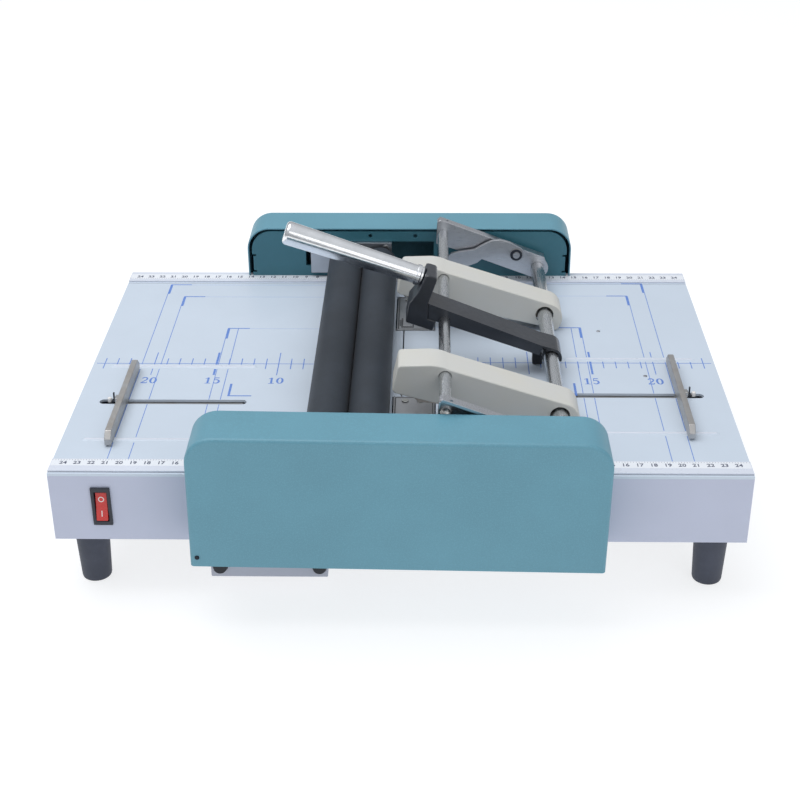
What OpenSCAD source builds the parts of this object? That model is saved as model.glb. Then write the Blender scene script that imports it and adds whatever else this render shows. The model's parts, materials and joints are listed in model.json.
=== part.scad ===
/* [Table] */
// Length of the table, left to right
table_l = 498; // [490:1:540]
// Depth of the table, front to back
table_d = 348; // [346:1:352]
// Height of the table panels above the floor
deck_top = 105.2; // [105.2:0.1:105.6]
// Thickness of the table panels
deck_t = 2; // [1.6:0.1:2.2]
// Height of the lower edge of the body above the floor
body_bottom = 50; // [49:0.5:51]
// Thickness of the body's sheet metal
wall = 1.5; // [1.2:0.1:1.8]
// Height of the ruler rails above the table panels
rail_h = 1.2; // [1:0.1:2]
// Width of a ruler rail
rail_w = 19; // [16:1:20]

/* [Side covers] */
// Length of a side cover
cover_l = 289; // [286:1:292]
// Height of the top of the covers above the floor
cover_top = 152; // [151.5:0.5:154]
// Distance of the rear cover's inner rim from the middle of the machine
cover_rim = 167.2; // [166.5:0.1:167.2]
// Depth of a cover from its inner rim to its outer face
cover_w = 40; // [38:1:42]
// Thickness of a cover
cover_t = 1.2; // [1:0.1:1.4]
// Radius of the covers' upper corners
cover_r = 20; // [16:1:24]

/* [Folding rollers] */
// Diameter of a rubber roller
roller_d = 30; // [29.6:0.1:30]
// Distance between the two roller axes
roller_pitch = 30.4; // [30.4:0.1:30.4]
// Height of the roller axes above the floor
roller_z = 122; // [122:0.1:122.4]
// Distance of the fold line from the staple line
fold_x = -38.5; // [-38.5:0.1:-38.3]

/* [Stapling press] */
// Distance of the hinge shaft from the staple line
hinge_x = 116.5; // [116:0.1:117]
// Height of the hinge shaft's axis above the floor
hinge_z = 120; // [119.8:0.1:120.2]
// Diameter of the hinge shaft
hinge_d = 12; // [12:0.1:12]
// Diameter of the press shaft
press_d = 9; // [9:0.1:9]
// Width of a stapler head
head_w = 28; // [27:0.5:29]
// Place of the front stapler head, front to back
front_head_y = -100.5; // [-102:0.5:-99]
// Place of the rear stapler head, front to back
rear_head_y = 71.5; // [70:0.5:73]
// Place of the hand lever, front to back
lever_y = -10; // [-12:0.5:-8]
// Width of the hand lever
lever_w = 25; // [24:0.5:26]
// Diameter of the handle tube at its free end
handle_d = 18.4; // [18:0.1:19]
// Length of the handle tube
handle_l = 106; // [90:1:110]

/* [Feet] */
// Diameter of a foot at the top
foot_top_d = 26; // [24:1:28]
// Diameter of a foot at the floor
foot_floor_d = 22; // [20:1:24]

/* [Hidden] */

$fn = 64;
half_l = table_l / 2;
half_d = table_d / 2;
// Lip around the open bottom of the body
lip = 14;
deck_low = deck_top - deck_t;
rail_top = deck_top + rail_h;
rail_in = half_d - rail_w;
// Press shaft, behind and above the staple line
press_x = 32.3;
press_z = 152;
// Side frames: thickness, half length, top edge, corner radius
frame_t = 3;
frame_half = 140.8;
frame_top = cover_top - 3;
frame_r = 18;
frame_low = 53.5;
// Inner face of the rear frame, which stands in the table
frame_in = cover_rim + 0.5;
// Distance of a frame's inner face from the middle; the front one is bolted to the body's front
function frame_at(s) = s > 0 ? frame_in : half_d;
// The front cover hangs higher than the rear one and a little askew
front_lift = 3.1;
front_tilt = 0.8;
tilt_z = 100;
// Places of the cover screws; the front cover's right one is missing
function cover_screw_x(s) = s > 0 ? [-139.5, 139.5] : [-139.5];
// The rear cover and frame stand a little to the right
rear_shift = 2.4;
// Window in each side frame for the roller ends
win_x0 = -90;
win_x1 = 24.5;
win_z0 = 116;
win_z1 = 139.5;
// Guide slots, ribs and guides
slot_x0 = 119;
slot_x1 = 232;
left_slot_y = -68.2;
right_slot_y = -55.5;
slot_w = 7;
guide_x = 212.5;
guide_l = 122.5;
guide_shift = -7.3;
// Knife slit between the left deck and the centre plate, and the flanges along it
slit_w = 3;
deck_flange = 1.5;
plate_half = 167;
// Staple slit between the centre plate and the right deck
staple_slit_x0 = -0.9;
staple_slit_x1 = 0.1;
// Left edge, right edge and length of an anvil plate
anvil_x0 = -6.6;
anvil_x1 = 25;
anvil_l = 66;
front_anvil_y = front_head_y + 8.5;
rear_anvil_y = rear_head_y + 19.5;
anvil_screws = [[2.5, 26], [14, 26], [18, -26]];
// Gears
gear_module = roller_pitch / 30;
gear_y0 = -188;
gear_w = 8;
left_roller_x = fold_x - roller_pitch / 2;
right_roller_x = fold_x + roller_pitch / 2;
idler_x = left_roller_x + roller_pitch * cos(246);
idler_z = roller_z + roller_pitch * sin(246);
pinion_x = idler_x + 0.75 * roller_pitch * cos(252);
pinion_z = idler_z + 0.75 * roller_pitch * sin(252);
roller_l = 322;
shaft_d = 10;
stud_d = 8;
fit = 0.05;
// Bearing plates: thickness and screws
plate_t = 3.6;
plate_screw_x = [-80, -67, -18];
plate_screw_z = 135;
// Feet
foot_x = 229;
foot_y = 146;
// Rocker switch and mains inlet
switch_x = -212.5;
switch_z = 78.5;
inlet_x = 180;
inlet_z = 76;
// Front face of the gearbox
gearbox_y = -half_d + wall;
// Motor tray: ends, back and lower face
tray_x0 = -138;
tray_x1 = -52.6;
tray_y1 = -70;
tray_z0 = 17.5;
button_x = [-131, -58.5];
button_z = 27;
// Arc link: pin on the rear side arm and pin on the trip lever
link_pin = [97, 135.5];
trip_pin = [2, 121];
trip_pivot = [2, 110.6];
link_y = 150;
// Side arms: distance of their inner faces from the middle, thickness, width of the flange
function arm_at(s) = s > 0 ? 154 : 164.8;
arm_t = 2.2;
flange_w = 8.6;
// Knife mechanism
knife_bar_z = 62;
knife_bar_h = 12;
knife_rocker_x = 15;
knife_rocker_z = 64;
rocker_tilt = 9;
plunger_d = 9;
// Distance from the handle block to the handle tube
handle_h0 = 7.6;
steel = "silver";
teal = "cadetblue";
dark = [0.14, 0.15, 0.18];
panel = [0.8, 0.84, 0.9];
cream = [0.8, 0.81, 0.8];

// ---- helpers -------------------------------------------------------------

// Extrudes an outline drawn in (x, z) from y0 to y1
module along_y(y0, y1) {
  translate([0, y1, 0]) rotate([90, 0, 0]) linear_extrude(y1 - y0) children();
}

// Cylinder along Y between y0 and y1
module rod_y(x, z, d, y0, y1) {
  translate([x, y1, z]) rotate([90, 0, 0]) cylinder(d = d, h = y1 - y0);
}

// Box from its lowest to its highest corner
module span(low, high) {
  translate(low) cube(high - low);
}

// Outline with rounded upper corners
module arch(l, z0, z1, r) {
  translate([-l / 2, z0]) square([l, z1 - z0 - r]);
  translate([-l / 2 + r, z0]) square([l - 2 * r, z1 - z0]);
  for (s = [-1, 1]) translate([s * (l / 2 - r), z1 - r]) circle(r = r);
}

// Points on an arc about c, from angle a0 to a1
function arc(c, r, a0, a1, n) = [for (i = [0 : n])
  let (a = a0 + (a1 - a0) * i / n) [c[0] + r * cos(a), c[1] + r * sin(a)]];

// Spur gear outline with straight-sided teeth; one tooth points at angle phase
module gear_outline(teeth, phase) {
  pr = gear_module * teeth / 2;
  step = 360 / teeth;
  rotate(phase) polygon([for (i = [0 : teeth - 1], p = [
    [pr - 1.25 * gear_module, -0.30], [pr - 0.1 * gear_module, -0.21],
    [pr + 0.85 * gear_module, -0.10], [pr + 0.85 * gear_module, 0.10],
    [pr - 0.1 * gear_module, 0.21], [pr - 1.25 * gear_module, 0.30]])
    let (a = (i + p[1]) * step) [p[0] * cos(a), p[0] * sin(a)]]);
}

// Spur gear on a shaft along Y; phase turns it in the (x, z) plane
module gear_y(x, z, teeth, phase, bore_d) {
  translate([x, gear_y0 + gear_w, z]) rotate([90, 0, 0]) difference() {
    linear_extrude(gear_w) gear_outline(teeth, phase);
    translate([0, 0, -1]) cylinder(d = bore_d, h = gear_w + 2);
  }
}

// Straight slot with round ends, cut downwards
module slot_cut(x0, x1, y, w) {
  span([x0 + w / 2, y - w / 2, deck_low - 1], [x1 - w / 2, y + w / 2, deck_top + 1]);
  for (x = [x0 + w / 2, x1 - w / 2]) translate([x, y, deck_low - 1]) cylinder(d = w, h = deck_t + 2);
}

// Low embossed rib along X
module rib(x0, x1, y) {
  rib_r = 5;
  drop = 4.2;
  intersection() {
    translate([0, y, deck_top - drop]) union() {
      translate([x0, 0, 0]) rotate([0, 90, 0]) cylinder(r = rib_r, h = x1 - x0);
      for (x = [x0, x1]) translate([x, 0, 0]) sphere(r = rib_r);
    }
    span([x0 - 4, y - 4, deck_top - 0.5], [x1 + 4, y + 4, deck_top + 2]);
  }
}

// Slot that lets the rear side frame through a table panel
module frame_slot() translate([rear_shift, frame_in + frame_t / 2, deck_top])
  cube([2 * frame_half + 0.8, frame_t + 0.6, 12], center = true);

// ---- body ----------------------------------------------------------------

module chassis() color([0.72, 0.75, 0.83]) difference() {
  span([-half_l, -half_d, body_bottom], [half_l, half_d, deck_low]);
  span([-half_l + wall, -half_d + wall, body_bottom + wall], [half_l - wall, half_d - wall, deck_low + 1]);
  span([-half_l + lip, -half_d + lip, body_bottom - 1], [half_l - lip, half_d - lip, body_bottom + 3]);
  // opening for the gear train, behind the front cover
  span([-100, -half_d - 1, body_bottom + 6], [-8, -half_d + wall + 1, deck_low + 1]);
  // room for the motor tray
  span([tray_x0 - 0.3, -half_d - 1, body_bottom - 1], [tray_x1 + 0.3, -half_d + lip + 1, body_bottom + wall]);
  // switch and inlet cut-outs
  span([switch_x - 5.6, -half_d - 1, switch_z - 13], [switch_x + 5.6, -half_d + wall + 1, switch_z + 13]);
  span([inlet_x - 14, half_d - wall - 1, inlet_z - 11], [inlet_x + 14, half_d + 1, inlet_z + 11]);
  for (x = [-foot_x, foot_x], y = [-foot_y, foot_y])
    translate([x, y, body_bottom - 1]) cylinder(d = 40, h = 2 + wall);
}

module bottom_plate() color("gainsboro") difference() {
  span([-half_l + wall + 0.3, -half_d + wall + 0.3, body_bottom + wall],
       [half_l - wall - 0.3, half_d - wall - 0.3, body_bottom + wall + 1.5]);
  // motor opening over the tray
  span([tray_x0 + 4, -half_d - 1, body_bottom], [tray_x1 - 4, tray_y1 - 2, body_bottom + 5]);
  for (x = [-foot_x, foot_x], y = [-foot_y, foot_y])
    translate([x, y, body_bottom]) cylinder(d = 5.2, h = 5);
  for (i = [0 : 7]) span([90 + 12 * i, -60, body_bottom], [95 + 12 * i, 60, body_bottom + 5]);
}

module left_deck() color(panel) difference() {
  union() {
    span([-half_l, -half_d, deck_low], [fold_x - slit_w / 2, half_d, deck_top]);
    folded_edge(fold_x - slit_w / 2 - deck_flange);
    for (y = [left_slot_y + 58.5, left_slot_y - 57.5]) rib(-slot_x1, -slot_x0, y);
  }
  slot_cut(-slot_x1, -slot_x0, left_slot_y, slot_w);
  frame_slot();
}

module centre_plate() color(panel) difference() {
  union() {
    span([fold_x + slit_w / 2, -plate_half, deck_low], [staple_slit_x0, plate_half, deck_top]);
    folded_edge(fold_x + slit_w / 2);
  }
  anvil_cuts();
}

// Flange folded down along an edge of the knife slit
module folded_edge(x) span([x, -plate_half, deck_low - 8], [x + deck_flange, plate_half, deck_low]);

module right_deck() color(panel) difference() {
  union() {
    span([staple_slit_x1, -half_d, deck_low], [half_l, half_d, deck_top]);
    for (y = [right_slot_y + 61, right_slot_y - 58]) rib(slot_x0 + 12, slot_x1, y);
  }
  slot_cut(slot_x0, slot_x1, right_slot_y, slot_w);
  frame_slot();
  anvil_cuts();
}

module anvil_cuts() {
  gap = 0.9;
  for (y = [front_anvil_y, rear_anvil_y])
    span([anvil_x0 - gap, y - anvil_l / 2 - gap, deck_low - 1],
         [anvil_x1 + gap, y + anvil_l / 2 + gap, deck_top + 1]);
}

module ruler_rail(y0, y1) color([0.86, 0.88, 0.92]) difference() {
  span([-half_l, y0, deck_top], [half_l, y1, rail_top]);
  frame_slot();
}

module front_ruler_rail() ruler_rail(-half_d + 2.4, -rail_in);
module rear_ruler_rail() ruler_rail(rail_in, half_d);

// ---- side frames and covers -----------------------------------------------

module frame_outline(shift, low) difference() {
  translate([shift, 0]) arch(2 * frame_half, low, frame_top, frame_r);
  translate([win_x0, win_z0]) square([win_x1 - win_x0, win_z1 - win_z0]);
  translate([hinge_x, hinge_z]) circle(d = 16);
  for (x = [-32, 8]) translate([x, 144.8]) circle(d = 3.4);
  // recess in each edge for the cover's tabs
  for (s = [-1, 1]) translate([s * frame_half + shift, 0]) {
    translate([-1, 109.5]) square([2, 17]);
    for (z = [109.5, 125]) translate([-3.6, z]) square([7.2, 1.8]);
  }
}

module front_side_frame() color([0.3, 0.49, 0.56]) {
  difference() {
    along_y(-half_d - frame_t, -half_d) frame_outline(0, frame_low + 4.5);
    rod_y(pinion_x, pinion_z, 12, -half_d - 10, -half_d + 10);
    rod_y(idler_x, idler_z, stud_d, -half_d - 10, -half_d + 10);
  }
  // stud that carries the idler gear, with its head
  rod_y(idler_x, idler_z, stud_d, gear_y0 - 2, -half_d);
  rod_y(idler_x, idler_z, 11, gear_y0 - 4, gear_y0 - 0.4);
}

module rear_side_frame() color([0.3, 0.49, 0.56]) {
  along_y(frame_in, frame_in + frame_t) frame_outline(rear_shift, frame_low);
  // feet turned in over the bottom plate
  for (x = [-125, 95]) span([x, frame_in - 14, frame_low - 0.5], [x + 30, frame_in, frame_low + 1.5]);
  // pivot of the trip lever
  rod_y(trip_pivot[0], trip_pivot[1], 6, link_y - 6, frame_in);
}

// Cover with its inner rim at y = 0 and its outer face at y = cover_w
module cover_shell(s) difference() {
  along_y(0, cover_w) arch(cover_l, body_bottom - 0.5, cover_top, cover_r);
  along_y(-1, cover_w - cover_t)
    arch(cover_l - 2 * cover_t, body_bottom - 0.5 + cover_t, cover_top - cover_t, cover_r - cover_t);
  for (x = cover_screw_x(s)) rod_y(x, 57, 2.6, cover_w - 5, cover_w + 1);
}

module place_cover(s) {
  if (s > 0) translate([rear_shift, cover_rim, 0]) children();
  else translate([0, -half_d - 0.1, tilt_z]) rotate([0, front_tilt, 0])
    translate([0, 0, front_lift - tilt_z]) mirror([0, 1, 0]) children();
}

module front_side_cover() color(teal) place_cover(-1) cover_shell(-1);
module rear_side_cover() color(teal) difference() {
  place_cover(1) cover_shell(1);
  // relief that fits around the table's edge
  span([-cover_l, cover_rim - 2, 0], [cover_l, half_d + 0.4, rail_top + 0.4]);
}

// Screws at the lower corners of the covers
module cover_screws() color(dark) for (s = [-1, 1], x = cover_screw_x(s)) place_cover(s)
  translate([x, cover_w, 57]) rotate([-90, 0, 0]) {
    translate([0, 0, -3]) cylinder(d = 2.4, h = 3);
    cylinder(d1 = 3.6, d2 = 2.6, h = 0.9);
  }

module bearing_plate(s) difference() {
  y1 = s > 0 ? frame_in : -half_d + plate_t;
  span([-85.4, y1 - plate_t, 110.7], [-13, y1, win_z1]);
  for (x = [left_roller_x, right_roller_x]) rod_y(x, roller_z, 13, y1 - plate_t - 1, y1 + 1);
  for (x = plate_screw_x) rod_y(x, plate_screw_z, 2.6, y1 - plate_t - 1, y1 + 1);
}

module front_bearing_plate() color("lightgray") bearing_plate(-1);
module rear_bearing_plate() color("lightgray") bearing_plate(1);

// Bronze bushes: four for the rollers, two for the hinge shaft
module bushes() color("peru") for (s = [-1, 1]) {
  for (x = [left_roller_x, right_roller_x])
    bush(x, roller_z, 13, shaft_d + 2 * fit, s, frame_at(s) - 4.2, frame_at(s));
  bush(hinge_x, hinge_z, 16, hinge_d, s, frame_at(s) - 3, frame_at(s) + frame_t);
}

module bush(x, z, d, bore_d, s, r0, r1) difference() {
  rod_y(x, z, d, s > 0 ? r0 : -r1, s > 0 ? r1 : -r0);
  rod_y(x, z, bore_d, s > 0 ? r0 - 1 : -r1 - 1, s > 0 ? r1 + 1 : -r0 + 1);
}

// Screws of the bearing plates, the anvils and the feet
module plate_screws() color(steel) {
  for (x = [-foot_x, foot_x], y = [-foot_y, foot_y]) translate([x, y, 0]) {
    translate([0, 0, 8]) cylinder(d = 9, h = 4);
    translate([0, 0, 12]) cylinder(d = 5, h = body_bottom + wall - 7);
    translate([0, 0, body_bottom + wall + 1.5]) cylinder(d = 9, h = 4);
  }
  for (s = [-1, 1], x = plate_screw_x) translate([x, s * (frame_at(s) - plate_t), plate_screw_z])
    rotate([s > 0 ? 90 : -90, 0, 0]) {
      cylinder(d = 5, h = 1.2);
      translate([0, 0, -plate_t]) cylinder(d = 2.6, h = plate_t);
    }
  for (y = [front_anvil_y, rear_anvil_y], p = anvil_screws)
    translate([p[0], y + p[1], deck_top + 0.3]) {
      cylinder(d = 5.4, h = 1);
      translate([0, 0, -3]) cylinder(d = 3, h = 3);
    }
}

// ---- anvils ----------------------------------------------------------------

module anvil(y, head_y) difference() {
  union() {
    span([anvil_x0, y - anvil_l / 2, deck_low - 2], [anvil_x1, y + anvil_l / 2, deck_top + 0.3]);
    span([-1.5, head_y - 8, deck_top], [6.5, head_y + 8, deck_top + 1.6]);
  }
  for (p = anvil_screws) translate([p[0], y + p[1], deck_low - 5]) cylinder(d = 3, h = 12);
  // the two curling grooves of the anvil
  for (g = [-3.4, 3.4]) span([1.6, head_y + g - 2.6, deck_top + 0.9], [3.4, head_y + g + 2.6, deck_top + 3]);
}

module front_anvil() color(steel) anvil(front_anvil_y, front_head_y);
module rear_anvil() color(steel) anvil(rear_anvil_y, rear_head_y);

module hinge_shaft() color("lightsteelblue")
  rod_y(hinge_x, hinge_z, hinge_d, -half_d - frame_t - 2, frame_in + frame_t + 2);

module lever_stop() color(dark)
  span([103.3, lever_y + 6.2, deck_top], [111, lever_y + 14.7, deck_top + 11.4]);

// ---- electrics ----------------------------------------------------------------

module switch_bezel() color(dark) difference() {
  union() {
    span([switch_x - 7, -half_d - 1.8, switch_z - 15.5], [switch_x + 7, -half_d, switch_z + 15.5]);
    span([switch_x - 5.5, -half_d, switch_z - 12.9], [switch_x + 5.5, -half_d + 16, switch_z + 12.9]);
  }
  span([switch_x - 4.6, -half_d - 2, switch_z - 12], [switch_x + 4.6, -half_d + 8, switch_z + 12]);
}

// Rocker cap; its face is a shallow V, and it rests with one half pushed in
module power_rocker() color("firebrick") translate([switch_x - 4.2, 0, 0]) rotate([90, 0, 90])
  linear_extrude(8.4) polygon([
    [-half_d + 0.4, switch_z + 10.8], [-half_d - 0.6, switch_z], [-half_d - 3.4, switch_z - 10.8],
    [-half_d + 3.2, switch_z - 9.6], [-half_d + 5.6, switch_z - 2.4], [-half_d + 5.6, switch_z + 2.4],
    [-half_d + 3.2, switch_z + 10.2]]);

// Mains inlet with three pins
module power_inlet() color(dark) {
  difference() {
    union() {
      span([inlet_x - 20, half_d, inlet_z - 14], [inlet_x + 20, half_d + 2.4, inlet_z + 14]);
      span([inlet_x - 13.8, half_d - 18, inlet_z - 10.8], [inlet_x + 13.8, half_d, inlet_z + 10.8]);
    }
    span([inlet_x - 11.6, half_d - 15, inlet_z - 8.6], [inlet_x + 11.6, half_d + 5, inlet_z + 8.6]);
    for (x = [-17, 17]) rod_y(inlet_x + x, inlet_z, 3.2, half_d - 1, half_d + 4);
  }
  for (p = [[-7, -2], [7, -2], [0, 3]])
    translate([inlet_x + p[0], half_d - 8, inlet_z + p[1]]) cube([2, 14, 4], center = true);
}

// Gearbox with its motor behind it, bolted to the body's front wall
module gearmotor() color("dimgray") difference() {
  union() {
    span([-106, gearbox_y, 56], [-52, gearbox_y + 28, 90]);
    translate([-95, gearbox_y + 28, 55]) rotate([-90, 0, 0]) cylinder(d = 46, h = 62);
    rod_y(-95, 55, 14, gearbox_y + 90, gearbox_y + 95);
  }
  rod_y(pinion_x, pinion_z, 6 + 2 * fit, gearbox_y - 1, gearbox_y + 22);
}

module motor_tray() color([0.74, 0.75, 0.8]) difference() {
  span([tray_x0, -half_d, tray_z0], [tray_x1, tray_y1, body_bottom + wall]);
  span([tray_x0 + wall, -half_d + wall, tray_z0 + wall],
       [tray_x1 - wall, tray_y1 - wall, body_bottom + 3]);
  for (x = button_x) rod_y(x, button_z, 4, -half_d - 1, -half_d + 3);
  // cooling slots
  for (i = [0 : 5])
    span([tray_x0 + 13 + 11 * i, -150, tray_z0 - 1], [tray_x0 + 18 + 11 * i, -95, tray_z0 + 3]);
}

// Rubber buttons on the front of the motor tray
module tray_buttons() color(dark) for (x = button_x) {
  translate([x, -half_d, button_z]) rotate([90, 0, 0]) cylinder(d1 = 11.4, d2 = 9, h = 3.4);
  rod_y(x, button_z, 4, -half_d, -half_d + 3);
}

// ---- fold knife ------------------------------------------------------------------

module knife_posts() color(steel) for (y = [-160, 160])
  translate([fold_x, y, body_bottom + wall + 1.5]) cylinder(d = 8, h = 41);

module fold_knife() color(steel) {
  span([fold_x - 0.5, -150, knife_bar_z], [fold_x + 0.5, 150, 101]);
  difference() {
    span([fold_x - 6, -166, knife_bar_z], [fold_x + 6, 166, knife_bar_z + knife_bar_h]);
    for (y = [-160, 160]) translate([fold_x, y, 50]) cylinder(d = 8 + 2 * fit, h = 60);
    span([fold_x - 0.5, -150, knife_bar_z - 1], [fold_x + 0.5, 150, 80]);
  }
}

module rocker_bracket() color("lightgray") {
  for (y = [-9, 6]) difference() {
    span([knife_rocker_x - 8, y, body_bottom + wall + 1.5], [knife_rocker_x + 8, y + 3, knife_rocker_z + 6]);
    rod_y(knife_rocker_x, knife_rocker_z, 6, y - 1, y + 4);
  }
  span([knife_rocker_x - 8, -6, body_bottom + wall + 1.5], [knife_rocker_x + 8, 6, body_bottom + wall + 2.5]);
  rod_y(knife_rocker_x, knife_rocker_z, 6, -10, 10);
}

// Two-armed lever that lifts the knife when the solenoid pushes its right arm down
module knife_rocker() color("gray") translate([knife_rocker_x, 0, knife_rocker_z]) rotate([0, -rocker_tilt, 0])
  difference() {
    union() {
      along_y(-4, 4) {
        translate([-46, -2.6]) square([84, 5.2]);
        circle(d = 12);
      }
      along_y(-4, 4) translate([-53.5, 1.7]) circle(d = 8);
      along_y(-4, 4) translate([38, 0]) circle(d = 7);
      span([-53, -4, -2.3], [-40, 4, 2.6]);
    }
    rod_y(0, 0, 6 + 2 * fit, -5, 5);
  }

module knife_solenoid() color("darkslategray") difference() {
  span([41, -13, 80], [65, 13, deck_low]);
  translate([knife_rocker_x + 38, 0, 79]) cylinder(d = plunger_d + 2 * fit, h = 19);
}

module solenoid_plunger() color(steel) translate([knife_rocker_x + 38, 0, 74.2])
  cylinder(d = plunger_d, h = 23);

// ---- feet ----------------------------------------------------------------------------

module feet() color(dark) for (x = [-foot_x, foot_x], y = [-foot_y, foot_y])
  translate([x, y, 0]) difference() {
  rotate_extrude() polygon([[0, 0], [foot_floor_d / 2 - 1, 0], [foot_floor_d / 2, 1], [foot_top_d / 2, 49],
                            [foot_top_d / 2 - 0.6, body_bottom + wall], [0, body_bottom + wall]]);
  translate([0, 0, -1]) cylinder(d = 11, h = 13);
  cylinder(d = 5, h = 60);
}

// Torsion springs on the hinge shaft, drawn as their closed coils
module return_springs() color("gray") for (s = [-1, 1], i = [0 : 4])
  translate([hinge_x, s * (157.5 + 1.5 * i), hinge_z]) rotate([90, 0, 0])
    rotate_extrude() translate([7.2, 0]) circle(d = 1.4, $fn = 16);

// ---- rollers and gears ------------------------------------------------------------------

module roller(x) difference() {
  rod_y(x, roller_z, roller_d, -roller_l / 2, roller_l / 2);
  rod_y(x, roller_z, shaft_d, -roller_l, roller_l);
}

module left_roller() color(dark) roller(left_roller_x);

module right_roller() color(dark) difference() {
  roller(right_roller_x);
  // head of the set screw that keys the sleeve to its shaft
  translate([right_roller_x, -1.5, roller_z]) rotate([0, -8, 0])
    translate([0, 0, 13]) cylinder(d = 3.6, h = 4);
}

module roller_shaft(x) rod_y(x, roller_z, shaft_d, gear_y0 - 3, frame_in + 2);
module left_roller_shaft() color(steel) roller_shaft(left_roller_x);
module right_roller_shaft() color(steel) roller_shaft(right_roller_x);
module left_roller_gear() color("gray") gear_y(left_roller_x, roller_z, 30, 0, shaft_d);
module right_roller_gear() color("gray") gear_y(right_roller_x, roller_z, 30, 6, shaft_d);
module idler_gear() color("gray") gear_y(idler_x, idler_z, 30, 6, stud_d + 2 * fit);

module motor_pinion() color("goldenrod") {
  gear_y(pinion_x, pinion_z, 15, 0, 6);
  rod_y(pinion_x, pinion_z, 6, gear_y0 - 2, gearbox_y + 20);
}

// ---- stapling press ------------------------------------------------------------------------

// Hand lever: a channel that opens downwards; its top curls over the hinge shaft
module lever_arm() color(dark) {
  y0 = lever_y - lever_w / 2;
  y1 = lever_y + lever_w / 2;
  curl_c = [hinge_x - 0.5, hinge_z];
  difference() {
    union() {
      along_y(y0, y1) {
        polygon([[20, 167.3], [20, 154.3], [107, 123], [110.4, 130.7]]);
        // curl
        polygon(concat([[107, 132]], arc(curl_c, 9, 70, -18, 12), arc(curl_c, 6.8, -18, 110, 14)));
      }
      // bearing sleeve between the side walls
      rod_y(hinge_x, hinge_z, 14.4, y0 + 4, y1 - 8);
    }
    // hollow of the channel
    along_y(y0 + 3, y1 - 3) polygon([[26, 162.2], [26, 140], [106, 112], [106, 129.8]]);
    rod_y(hinge_x, hinge_z, hinge_d + 2 * fit, y0 - 1, y1 + 1);
    rod_y(press_x, press_z, press_d, y0 - 1, y1 + 1);
  }
}

// Block at the free end of the lever, leaning back, with a boss for the handle
module handle_block() color(dark) {
  along_y(lever_y - lever_w / 2, lever_y + lever_w / 2)
    polygon([[2.2, 151.2], [23.2, 143.5], [26.2, 152], [20, 154.3], [20, 167.3], [27.3, 188.5],
             [18.4, 191.6], [12.2, 177], [9.6, 173], [5, 167]]);
  on_handle() translate([0, 0, -4]) cylinder(d = 13, h = 6.8);
}

module on_handle() translate([17.5, lever_y, 184.2]) rotate([0, -90 + 19.15, 0]) children();

module handle_collar() color("gainsboro") on_handle() rotate_extrude()
  polygon([[0, 2.8], [7.6, 2.8], [7.6, 4.4], [8.2, 5], [8.2, handle_h0], [0, handle_h0]]);

// Tapered tube with a rounded end
module handle_tube() color("white") on_handle() translate([0, 0, handle_h0]) rotate_extrude()
  polygon(concat([[0, 0], [7.3, 0]], arc([handle_d / 2 - 3, handle_l - 3], 3, 0, 90, 6), [[0, handle_l]]));

module press_shaft() color("lightsteelblue")
  rod_y(press_x, press_z, press_d, -arm_at(-1) - arm_t, arm_at(1) + arm_t);

// Outline of a side arm: a bar from the press shaft to the hinge shaft
module arm_outline() difference() {
  polygon(concat([[26.5, 143.5], [38.4, 139.5], [108, 112.9]],
    arc([hinge_x, hinge_z], 9.6, -110, 42, 10),
    [[122.3, 130.4], [30.4, 165.4], [27.6, 163.6]]));
  translate([hinge_x, hinge_z]) circle(d = hinge_d + 2 * fit);
  translate([press_x, press_z]) circle(d = press_d);
}

module side_arm(s) {
  y0 = s > 0 ? arm_at(s) : -arm_at(s) - arm_t;
  edge0 = s > 0 ? y0 : -arm_at(s) - flange_w;
  along_y(y0, y0 + arm_t) arm_outline();
  // turned-out flange along the top edge
  difference() {
    along_y(edge0, edge0 + flange_w) polygon([[30.4, 165.4], [122.3, 130.4], [121.5, 128.6], [28.2, 164]]);
    translate([36, s * (arm_at(s) + 5.5), 150]) cylinder(d = 2.6, h = 20);
  }
  // turned-out end by the press shaft
  along_y(edge0, edge0 + flange_w)
    polygon([[27.6, 163.6], [28.9, 163.4], [27.8, 158.4], [27.3, 158]]);
}

module front_side_arm() color(steel) side_arm(-1);
module rear_side_arm() color(steel) {
  side_arm(1);
  // pin for the arc link
  rod_y(link_pin[0], link_pin[1], 6, link_y - 4, arm_at(1));
}

// Dome nuts on the press shaft and the clip on the link's pin
module retaining_clips() color(steel) {
  for (s = [-1, 1]) translate([press_x, s * (arm_at(s) + arm_t), press_z]) rotate([s > 0 ? -90 : 90, 0, 0])
    rotate_extrude() polygon(concat([[0, 0], [0, 5.6]], arc([0, 1.2], 4.4, 84, 0, 8), [[4.4, 0]]));
  difference() {
    rod_y(link_pin[0], link_pin[1], 10.5, link_y - 3, link_y - 2);
    rod_y(link_pin[0], link_pin[1], 6, link_y - 4, link_y);
    translate([link_pin[0], link_y - 3.5, link_pin[1]]) rotate([0, 25, 0]) span([0, -1, -2.2], [8, 3, 2.2]);
  }
}

// Curved link between the rear side arm and the trip lever
module arc_link() color(steel) {
  difference() {
    along_y(link_y - 1.8, link_y + 1.6) polygon(concat(
      arc(link_pin, 7.4, -100, 54, 10),
      [[91, 146.9], [82.4, 149], [75.4, 148.3], [69, 145.4], [60, 139.8], [40, 136.6], [36.5, 133],
       [34, 126], [14, 123.5]],
      arc(trip_pin, 5.5, 60, 250, 8),
      [[16, 113.5], [34, 115], [50, 122.5], [62.7, 127.4], [67, 131.2]],
      arc([82, 122.4], 13.8, 135, 72, 6)));
    rod_y(link_pin[0], link_pin[1], 6 + 2 * fit, link_y - 5, link_y + 5);
    rod_y(trip_pin[0], trip_pin[1], 5.4, link_y - 5, link_y + 5);
  }
}

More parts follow.
